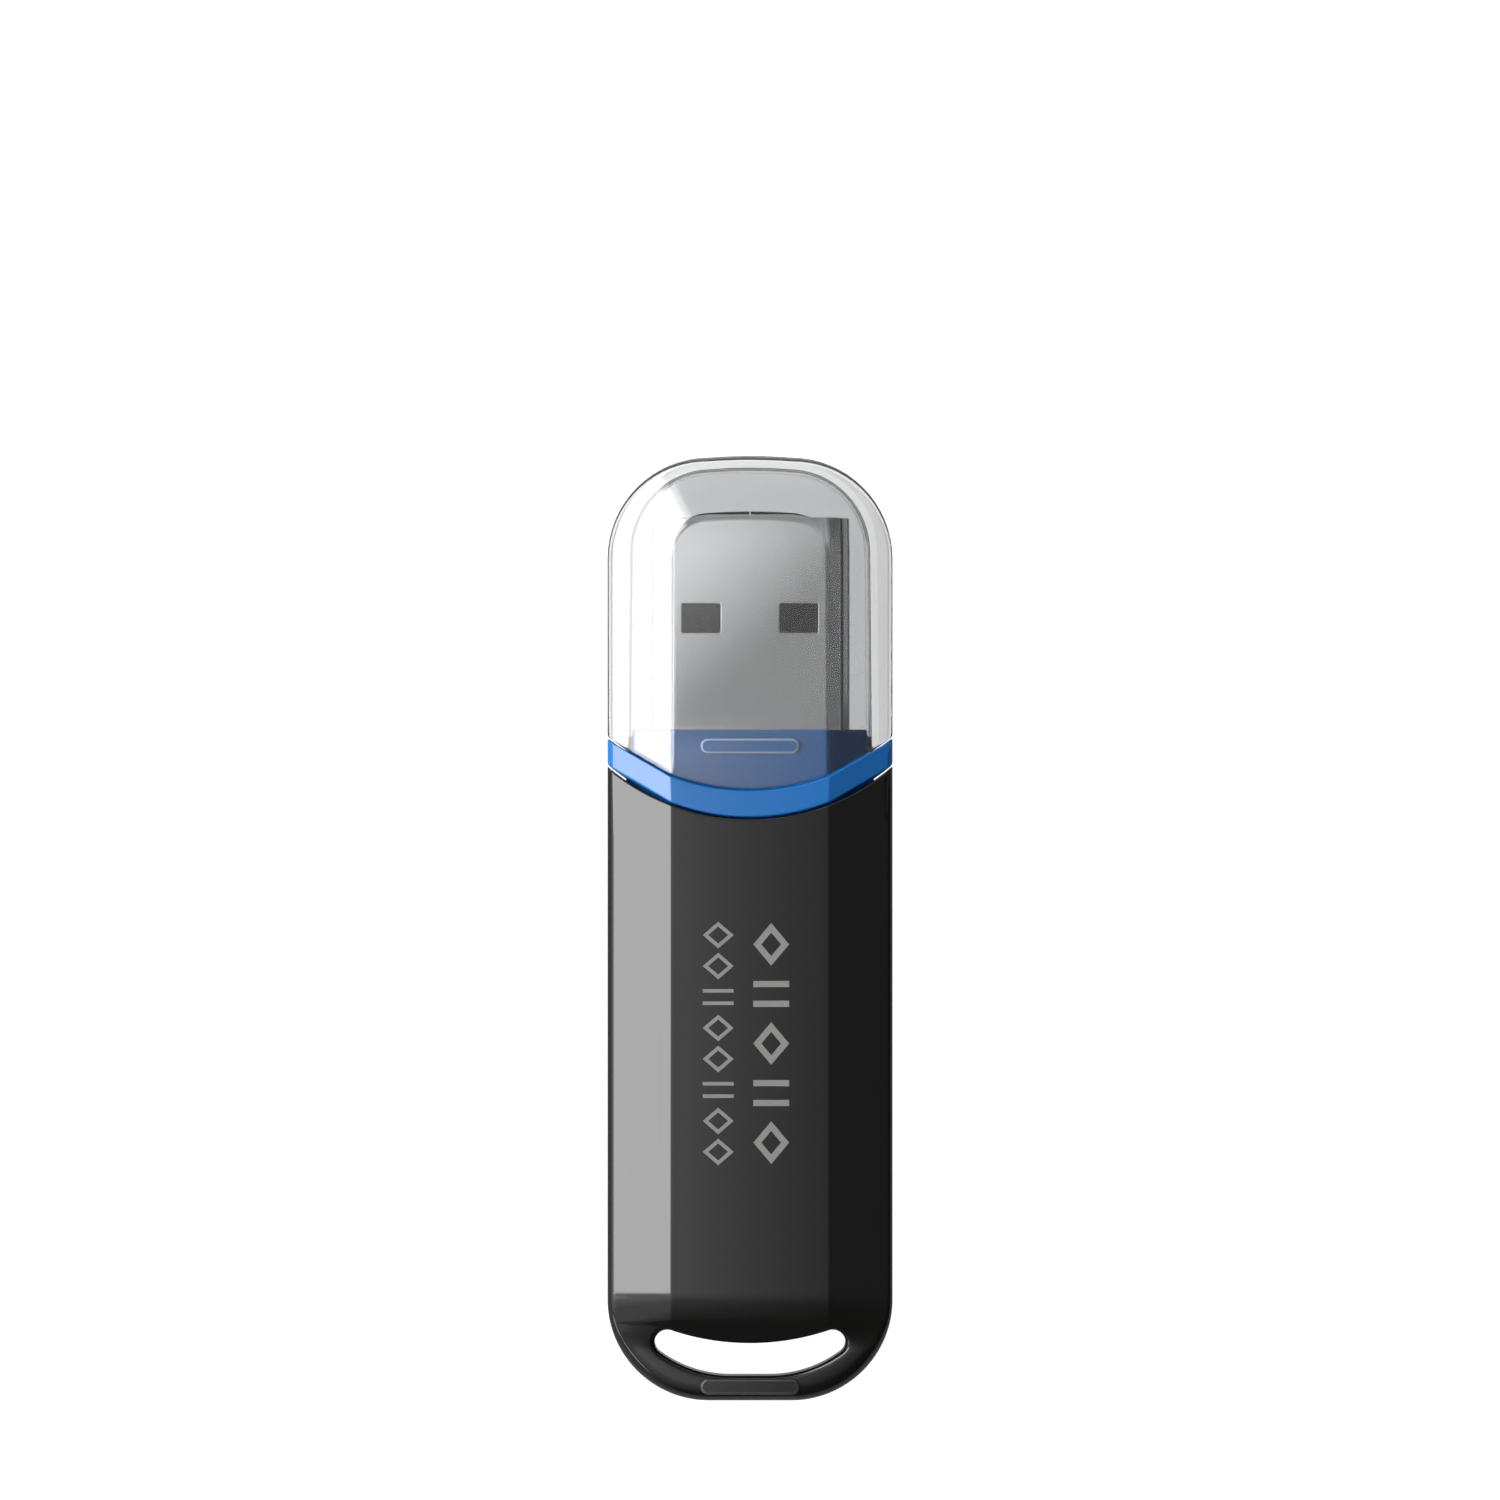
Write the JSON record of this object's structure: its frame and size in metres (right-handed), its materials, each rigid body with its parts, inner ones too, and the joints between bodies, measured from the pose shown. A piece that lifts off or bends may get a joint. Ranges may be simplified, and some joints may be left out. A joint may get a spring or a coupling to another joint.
{
  "type": "usb flash drive",
  "caption": "Capped flash drive with a bevelled bar body, coloured collar, clear slide-off cap, metal type A plug and a lanyard slot in the tail.",
  "frame": {"origin": "middle of the lower flat face's plane, below the middle of the capped drive", "axes": "+Y from the lanyard loop to the plug and cap, +X across the drive, +Z out of the upper flat face"},
  "size_m": [0.0176, 0.058, 0.0087],
  "materials": {
    "clear_plastic": "clear moulded polycarbonate",
    "blue_plastic": "blue gloss moulding",
    "black_plastic": "black gloss moulding",
    "plug_steel": "nickel-plated sheet steel",
    "insulator_plastic": "black moulded thermoplastic",
    "gold_plating": "gold-plated copper alloy",
    "board_laminate": "green solder mask on glass laminate",
    "solder": "reflowed solder",
    "chip_resin": "fine matt moulding compound",
    "tinned_leads": "tinned copper",
    "crystal_case": "metal lid on ceramic",
    "capacitor_ceramic": "tan ceramic with tinned ends",
    "resistor_ceramic": "black glaze with tinned ends",
    "ferrite": "grey ferrite with tinned ends"
  },
  "bodies": {
    "drive": {"collar": "blue_plastic", "upper_shell": "black_plastic", "lower_shell": "black_plastic", "plug_shell": "plug_steel", "plug_insulator": "insulator_plastic", "contact_power": "gold_plating", "contact_data_minus": "gold_plating", "contact_data_plus": "gold_plating", "contact_ground": "gold_plating", "circuit_board": "board_laminate", "solder_joints": "solder", "flash_chip": "chip_resin", "flash_chip_leads": "tinned_leads", "controller_chip": "chip_resin", "controller_leads": "tinned_leads", "crystal": "crystal_case", "bulk_capacitor": "capacitor_ceramic", "capacitors": "capacitor_ceramic", "resistors": "resistor_ceramic", "ferrite_bead": "ferrite"},
    "cap": {"cap": "clear_plastic"}
  },
  "joints": [
    {"name": "cap_slide", "type": "slide", "parent": "drive", "child": "cap", "axis": [0, 1, 0], "range_m": [0, 0.022]}
  ]
}
